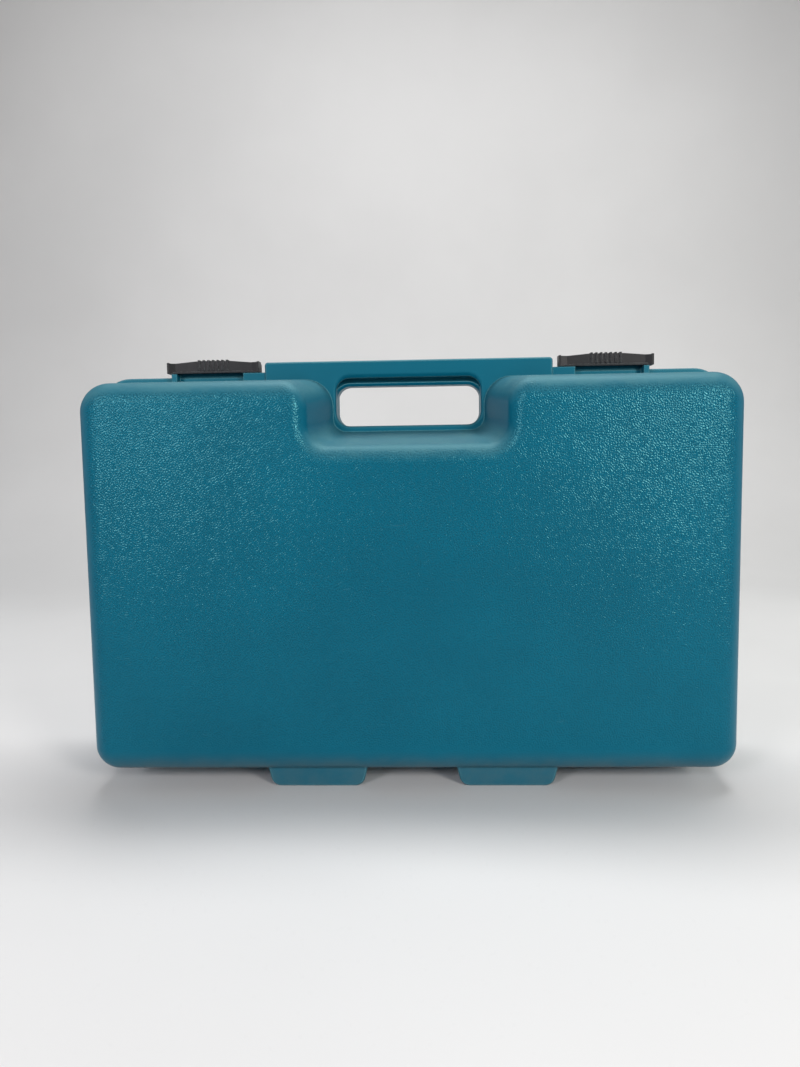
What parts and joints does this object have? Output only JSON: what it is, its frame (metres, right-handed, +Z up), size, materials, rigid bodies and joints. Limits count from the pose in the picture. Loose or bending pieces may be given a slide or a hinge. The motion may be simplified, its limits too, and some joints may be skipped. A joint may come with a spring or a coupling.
{
  "type": "hard tool case",
  "caption": "Twin-wall moulded carrying case that stands on its hinge side, with a handle through both halves, slide latches beside it and a tool nest inside.",
  "frame": {"origin": "on the floor under the middle of the case, in the parting plane between the two halves", "axes": "+X along the case to the pictured right, +Y through its depth from the base to the lid, +Z up towards the handle"},
  "size_m": [0.4688, 0.124, 0.3114],
  "materials": {
    "case_plastic": "grained teal polyethylene, smooth on its edges",
    "latch_plastic": "satin black",
    "pin_steel": "bright drawn"
  },
  "bodies": {
    "base": {"base_shell": "case_plastic", "hinge_pin_left": "pin_steel", "hinge_pin_middle": "pin_steel", "hinge_pin_right": "pin_steel"},
    "lid": {"lid_shell": "case_plastic"},
    "latch_left": {"latch_left": "latch_plastic"},
    "latch_right": {"latch_right": "latch_plastic"}
  },
  "joints": [
    {"name": "lid_hinge", "type": "hinge", "parent": "base", "child": "lid", "pos_m": [0, 0, 0.006], "axis": [-1, 0, 0], "range_deg": [0, 130]},
    {"name": "latch_left_slide", "type": "slide", "parent": "base", "child": "latch_left", "axis": [-1, 0, 0], "range_m": [0, 0.01]},
    {"name": "latch_right_slide", "type": "slide", "parent": "base", "child": "latch_right", "axis": [1, 0, 0], "range_m": [0, 0.01]}
  ]
}
